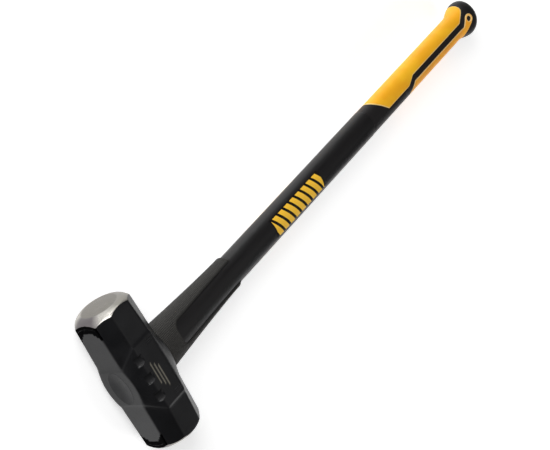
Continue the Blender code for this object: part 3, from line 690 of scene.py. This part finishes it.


# Moulded rubber with a diamond knurl, paler in random specks and where the knurl stands
# proud, smooth along borders. The knurl is drawn at a pitch of 3.6 mm, coarser than a real
# one, so that it shows.
KNURL_PITCH = 3.6
KNURL_RADIUS = 22.0
rubber, tree, shader = new_material("knurled_black_rubber")
place = add(tree, "TexCoord")["Object"]
parts = add(tree, "SeparateXYZ", {"Vector": place})
raised = add(tree, "Math", [parts["Z"], AXIS_Z], operation="SUBTRACT")[0]
turned = add(tree, "Math", [parts["Y"], raised], operation="ARCTAN2")[0]
around = add(tree, "Math", [turned, KNURL_RADIUS], operation="MULTIPLY")[0]
along = add(tree, "Math", [parts["X"], 1 / MM], operation="MULTIPLY")[0]
knurl = []
for lean in ("ADD", "SUBTRACT"):
    ridge = add(tree, "Math", [along, around], operation=lean)[0]
    ridge = add(tree, "Math", [ridge, 2 * math.pi / KNURL_PITCH], operation="MULTIPLY")[0]
    knurl.append(add(tree, "Math", [ridge], operation="SINE")[0])
knurl = add(tree, "Math", knurl, operation="MULTIPLY")[0]
border = add(tree, "Attribute", attribute_name="border")["Fac"]
field = add(tree, "MapRange", [border, 1.2, 2.2])["Result"]
knurl = add(tree, "Math", [knurl, field], operation="MULTIPLY")[0]
grain = add(tree, "TexNoise",
            {"Vector": place, "Scale": 1.1 / MM, "Detail": 5.0, "Roughness": 0.65})["Fac"]
# Paler where the knurl stands proud, and in random specks.
proud = add(tree, "MapRange", [knurl, 0.2, 0.9, 0.0, 0.4])["Result"]
pale_specks_and_ridges = add(tree, "MapRange", [grain, 0.5, 0.75, 0.0, 0.5])["Result"]
pale_specks_and_ridges = add(tree, "Math", [proud, pale_specks_and_ridges], operation="ADD")[0]
tone = add(tree, "Mix", {"Factor": pale_specks_and_ridges, "A": linear("#1c1b19"), "B": linear("#56534e")},
           data_type="RGBA")["Result"]
tree.links.new(tone, shader.inputs["Base Color"])
tree.links.new(add(tree, "MapRange", [grain, 0.3, 0.7, 0.62, 0.8])["Result"],
               shader.inputs["Roughness"])
ridges = add(tree, "Math", [knurl, 0.45], operation="MULTIPLY")[0]
grit = add(tree, "Math", [grain, 0.25], operation="MULTIPLY")[0]
height = add(tree, "Math", [ridges, grit], operation="ADD")[0]
normal = add(tree, "Bump", {"Height": height, "Distance": MM, "Strength": 0.9})["Normal"]
tree.links.new(normal, shader.inputs["Normal"])
guard = build_guard(rubber)
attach(guard, "root")
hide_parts("overstrike_guard")


# ------------------------------------------------------------------ end plug
# Hard nylon plug past the end of the core. It shows only inside the lanyard hole.

# Moulded nylon: plain, near black, slightly waxy.
nylon, tree, shader = new_material("moulded_black_nylon")
place = add(tree, "TexCoord")["Object"]
grain = add(tree, "TexNoise", {"Vector": place, "Scale": 0.9 / MM, "Detail": 3.0})["Fac"]
tree.links.new(add(tree, "Mix", {"Factor": grain, "A": linear("#161616"), "B": linear("#242424")},
                   data_type="RGBA")["Result"], shader.inputs["Base Color"])
tree.links.new(add(tree, "MapRange", [grain, 0.3, 0.7, 0.4, 0.55])["Result"],
               shader.inputs["Roughness"])
repaint("end_plug", nylon)


# ------------------------------------------------------------------ grip sleeve
# Black rubber grip moulded over the shaft, flared to a pommel with a round end. The two
# yellow pads lie in pockets of it, and a lanyard hole goes through the pommel.

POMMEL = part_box("grip_sleeve")[1].x / MM
GRIP = (20.1, 16.2)
GRIP_START, FLARE_LENGTH, ROUND_END = 548.0, 34.0, 15.0
FLARE = (7.3, 6.6)
SLEEVE_WALL = 1.9
GRIP_BORE = (TAIL[0] + 0.3, TAIL[1] + 0.3)
BORE_END = 825.0
HOLE = (POMMEL - 24.4, 1.6)
HOLE_RADIUS = 4.2
TOP_OF_PAD = HOLE[0] + 1.0
FRONT_PAD = [(591.5 - 84.1, 80.0), (591.5, -4.1), (651.0, -4.1), (653.2, -3.6), (668.8, 3.6),
             (671.0, 4.2), (TOP_OF_PAD - 22.5, 4.2), (TOP_OF_PAD - 20.0, 4.9),
             (TOP_OF_PAD - 5.2, 16.0), (TOP_OF_PAD - 2.2, 18.6), (TOP_OF_PAD - 0.5, 21.4),
             (TOP_OF_PAD, 24.4), (TOP_OF_PAD, 80.0)]
TAB = [(HOLE[0] + 7.4 * math.cos(math.radians(a)), HOLE[1] + 7.4 * math.sin(math.radians(a)))
       for a in range(142, -39, -12)]
BACK_PAD = ([(669.6, -5.0), (HOLE[0] - 15.0, -5.0)] + TAB
            + [(HOLE[0] - 16.0, -20.1), (HOLE[0] - 20.0, -80.0), (656.0, -80.0), (656.0, -16.0)])


def grip_half(x):
    """The grip's semi-axes at x: even, an S-shaped flare, then a rounded end."""
    widest = POMMEL - ROUND_END
    flare = smooth(x, widest - FLARE_LENGTH, widest)
    past = np.clip((x - widest) / ROUND_END, 0.0, 1.0)
    shrink = 0.70 + 0.30 * np.sqrt(1 - past * past)
    return (GRIP[0] + FLARE[0] * flare) * shrink, (GRIP[1] + FLARE[1] * flare) * shrink


def hole_distance(x, turn):
    """Distance outside the lanyard hole in the plan."""
    y = grip_half(x)[0] * np.sin(turn)
    return np.hypot(x - HOLE[0], y - HOLE[1]) - HOLE_RADIUS


def pad_distance(outline):
    """The distance function of one pad: inside its outline, outside the lanyard hole."""
    def distance(x, turn):
        y = grip_half(x)[0] * np.sin(turn)
        return np.minimum(plan_distance(x, y, outline), hole_distance(x, turn))
    return distance


def sleeve_distance(x, turn):
    """Positive on the black rubber: outside both pads and the lanyard hole."""
    y = grip_half(x)[0] * np.sin(turn)
    pads = np.maximum(plan_distance(x, y, FRONT_PAD), plan_distance(x, y, BACK_PAD))
    return np.minimum(-0.25 - pads, hole_distance(x, turn))


def grip_turns(count):
    """Turns round the grip, closer together where the pads' long edges run."""
    even = np.linspace(-math.pi / 2, math.pi / 2, 4001)
    weight = 1.0 + 2.4 * np.exp(-((np.abs(GRIP[0] * np.sin(even)) - 4.6) / 1.2) ** 2)
    total = np.concatenate([[0], np.cumsum((weight[1:] + weight[:-1]) / 2)])
    half = np.interp(np.linspace(0, total[-1], count // 2 + 1)[:-1], total, even)
    return np.concatenate([half, half + math.pi])


def build_sleeve(material):
    """The black outside as a plate with openings for the pads, the pocket floors under
    them, the round end, the bore over the shaft and the liner of the lanyard hole."""
    widest = POMMEL - ROUND_END
    bend = widest + ROUND_END * np.sin(np.radians(np.linspace(4, 90, 20)))
    stations = np.concatenate([np.linspace(GRIP_START, 549.6, 5), np.linspace(550.4, 805.0, 300),
                               np.linspace(805.7, widest, 64), bend])
    turns = 2 * math.pi * np.arange(176) / 176 - math.pi / 2

    def top(x, turn, here):
        front = 0.2 * (1 - smooth(x, GRIP_START, 549.2)) ** 2
        rim = 0.35 * (1 - smooth(here, 0.0, 0.8))
        return -front - rim

    points, faces, here = shell_patch(stations, turns, grip_half, sleeve_distance, top,
                                      lambda x, turn, here: np.full(x.shape, -SLEEVE_WALL))

    def grip_loop(x, wall):
        half_y, half_z = grip_half(np.array(x))
        return loop_points(x, half_y - wall, half_z - wall, count)

    def add_lining(loops, low_pole, high_pole):
        """Add closed loops, capped to a pole at both ends."""
        nonlocal points, faces
        start, last = len(points), len(points) + (len(loops) - 1) * count
        faces += tube_faces(len(loops), count, start, flip=True)
        faces += cap_faces(start + np.arange(count), last + count)
        faces += cap_faces(last + np.arange(count), last + count + 1, flip=True)
        points = np.vstack([points] + loops + [[(low_pole, 0.0, 0.0), (high_pole, 0.0, 0.0)]])

    count = 96
    bore_start, floor_end, cap_start = GRIP_START + 0.4, POMMEL - 4.0, POMMEL - 2.5
    floor_at = np.concatenate([[bore_start, 805.0], np.linspace(815.0, floor_end, 14)])
    add_lining([loop_points(x, *GRIP_BORE, count) for x in (BORE_END, bore_start)]
               + [grip_loop(x, SLEEVE_WALL) for x in floor_at], BORE_END, floor_end)
    cap = grip_loop(POMMEL, SLEEVE_WALL - 0.05)
    shrink = np.linspace(1, 0.05, 12)[:, None, None] * np.array([0, 1, 1]) + np.array([1, 0, 0])
    add_lining([cap + (cap_start - POMMEL, 0.0, 0.0)] + list(cap * shrink), cap_start, POMMEL)

    start = len(points)
    turn = 2 * math.pi * np.arange(64) / 64
    walk = ([(HOLE_RADIUS, z) for z in np.linspace(-19.0, 19.0, 9)]
            + [(HOLE_RADIUS + 0.3, z) for z in (19.0, -19.0)])
    liner = [np.stack([HOLE[0] + r * np.cos(turn), HOLE[1] + r * np.sin(turn), np.full(64, z)],
                      axis=-1) for r, z in walk]
    faces += tube_faces(len(liner), 64, start, joined=True)
    points = np.vstack([points] + liner)
    here = np.concatenate([here, np.full(len(points) - len(here), 3.0)])
    return make_object("black_grip_sleeve", points, faces, material, {"border": here})


# Soft black rubber: near black, satin, faintly leathery.
black, tree, shader = new_material("moulded_black_grip_rubber")
place = add(tree, "TexCoord")["Object"]
skin = add(tree, "TexVoronoi", {"Vector": place, "Scale": 1100.0}, feature="F1")["Distance"]
grain = add(tree, "TexNoise", {"Vector": place, "Scale": 0.7 / MM, "Detail": 4.0})["Fac"]
tree.links.new(add(tree, "Mix", {"Factor": grain, "A": linear("#0f0d0e"), "B": linear("#1b1819")},
                   data_type="RGBA")["Result"], shader.inputs["Base Color"])
tree.links.new(add(tree, "MapRange", [grain, 0.3, 0.7, 0.42, 0.56])["Result"],
               shader.inputs["Roughness"])
normal = add(tree, "Bump", {"Height": skin, "Distance": MM, "Strength": 0.1})["Normal"]
tree.links.new(normal, shader.inputs["Normal"])
sleeve = build_sleeve(black)
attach(sleeve, "root")
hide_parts("grip_sleeve")


# ------------------------------------------------------------------ grip pads
# Yellow rubber moulded into the pockets of the sleeve, one on each striking side. A fine
# raised bead runs round each pad, and the back pad ends in a tab round the lanyard hole.

def build_pad(name, outline, material):
    """One pad: its plate between the pocket's floor and the hand, with a bead on the rim."""
    stations = np.concatenate([np.linspace(564.0, 810.0, 330),
                               np.linspace(810.6, HOLE[0] + 9.5, 76)])
    if name.endswith("back"):
        stations = stations[stations > 653.0]
    turns = grip_turns(176)

    def top(x, turn, here):
        bead = 0.12 * np.exp(-((here - 0.9) / 0.5) ** 2)
        round_off = 0.5 * (1 - smooth(here, 0.0, 0.55)) ** 2
        return 0.06 + bead - round_off

    points, faces, here = shell_patch(stations, turns, grip_half, pad_distance(outline), top,
                                      lambda x, turn, here: np.full(x.shape, -1.6))
    return make_object(name, points, faces, material, {"border": here})


def yellow_rubber(name, body, warm):
    """Satin yellow rubber: mottled, with a painted highlight on the bead along its border."""
    made, tree, shader = new_material(name)
    place = add(tree, "TexCoord")["Object"]
    cloud = add(tree, "TexNoise", {"Vector": place, "Scale": 0.035 / MM, "Detail": 2.0})["Fac"]
    grain = add(tree, "TexNoise", {"Vector": place, "Scale": 1.0 / MM, "Detail": 4.0})["Fac"]
    tone = add(tree, "Mix",
               {"Factor": add(tree, "MapRange", [cloud, 0.35, 0.65])["Result"], "A": linear(warm),
                "B": linear(body)}, data_type="RGBA")["Result"]
    border = add(tree, "Attribute", attribute_name="border")["Fac"]
    # Painted highlight: the bead along the border is coloured paler.
    bead = add(tree, "MapRange", [border, 0.6, 1.7, 0.75, 0.0])["Result"]
    tone = add(tree, "Mix", {"Factor": bead, "A": tone, "B": linear("#ffdf9a")},
               data_type="RGBA")["Result"]
    tree.links.new(tone, shader.inputs["Base Color"])
    tree.links.new(add(tree, "MapRange", [grain, 0.3, 0.7, 0.42, 0.56])["Result"],
                   shader.inputs["Roughness"])
    skin = add(tree, "TexVoronoi", {"Vector": place, "Scale": 900.0}, feature="F1")["Distance"]
    normal = add(tree, "Bump", {"Height": skin, "Distance": MM, "Strength": 0.1})["Normal"]
    tree.links.new(normal, shader.inputs["Normal"])
    return made


# Both pads are the same yellow rubber; the back one is painted slightly darker and more orange, as
# painted shade.
front_yellow = yellow_rubber("moulded_yellow_grip_rubber", "#ffc022", "#fbb11a")
back_yellow_painted_shade = yellow_rubber("yellow_grip_rubber_painted_shade", "#ffb02a", "#f5a022")
for name, node_name, outline, finish in (
        ("yellow_pad_front", "grip_pad_front", FRONT_PAD, front_yellow),
        ("yellow_pad_back", "grip_pad_back", BACK_PAD, back_yellow_painted_shade)):
    pad = build_pad(name, outline, finish)
    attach(pad, "root")
    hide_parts(node_name)


# ------------------------------------------------------------------ labels
# A printed film on each cheek side of the shaft. The print is a plain generic pattern of
# slanted stripes.

LABEL_MIDDLE = 346.0
LABEL_HALF = (59.0, 13.4)
LABEL_CORNER = 0.8


def build_label(name, side, material):
    """A thin curved film: rows along X, columns across, closed by its underside and edges."""
    def distance(x, turn):
        over_x = np.abs(x - LABEL_MIDDLE) - (LABEL_HALF[0] - LABEL_CORNER)
        over_y = np.abs(CASING[0] * np.sin(turn)) - (LABEL_HALF[1] - LABEL_CORNER)
        return LABEL_CORNER - np.hypot(np.maximum(over_x, 0.0), np.maximum(over_y, 0.0))

    turns = np.linspace(-0.74, 0.74, 70) + (0.0 if side > 0 else math.pi)
    stations = LABEL_MIDDLE + np.linspace(-59.8, 59.8, 150)
    points, faces, _ = shell_patch(stations, turns, casing_half, distance,
                                   lambda x, turn, here: 0.45 + 0.1 * smooth(here, 0.0, 0.5),
                                   lambda x, turn, here: np.full(x.shape, 0.25), wrap=False)
    return make_object(name, points, faces, material)


# Glossy printed film: a black ground with plain slanted yellow bars from edge to edge.
BAR_PITCH = 14.0
PRINT_HALF = (58.2, 12.2)
film, tree, shader = new_material("printed_label_film")
place = add(tree, "TexCoord")["Object"]
parts = add(tree, "SeparateXYZ", {"Vector": place})
lean = add(tree, "Math", [parts["Y"], 0.55], operation="MULTIPLY")[0]
phase = add(tree, "Math", [parts["X"], lean], operation="ADD")[0]
phase = add(tree, "Math", [phase, 1 / (BAR_PITCH * MM)], operation="MULTIPLY")[0]
phase = add(tree, "Math", [phase], operation="FRACT")[0]
ink = add(tree, "Math", [phase, 0.34], operation="GREATER_THAN")[0]
along = add(tree, "Math", [parts["X"], LABEL_MIDDLE * MM], operation="SUBTRACT")[0]
for offset, limit in ((along, PRINT_HALF[0]), (parts["Y"], PRINT_HALF[1])):
    offset = add(tree, "Math", [offset], operation="ABSOLUTE")[0]
    inside = add(tree, "Math", [offset, limit * MM], operation="LESS_THAN")[0]
    ink = add(tree, "Math", [ink, inside], operation="MULTIPLY")[0]
fade = add(tree, "TexNoise", {"Vector": place, "Scale": 0.5 / MM, "Detail": 5.0})["Fac"]
yellow = add(tree, "Mix", {"Factor": fade, "A": linear("#fcc02c"), "B": linear("#ffd04a")},
             data_type="RGBA")["Result"]
tone = add(tree, "Mix", {"Factor": ink, "A": linear("#0d0b0a"), "B": yellow},
           data_type="RGBA")["Result"]
tree.links.new(tone, shader.inputs["Base Color"])
tree.links.new(add(tree, "MapRange", [fade, 0.3, 0.7, 0.26, 0.38])["Result"],
               shader.inputs["Roughness"])
for name, side in (("label_top", 1), ("label_bottom", -1)):
    label = build_label("printed_" + name, side, film)
    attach(label, "root")
    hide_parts(name)


bpy.context.view_layer.update()
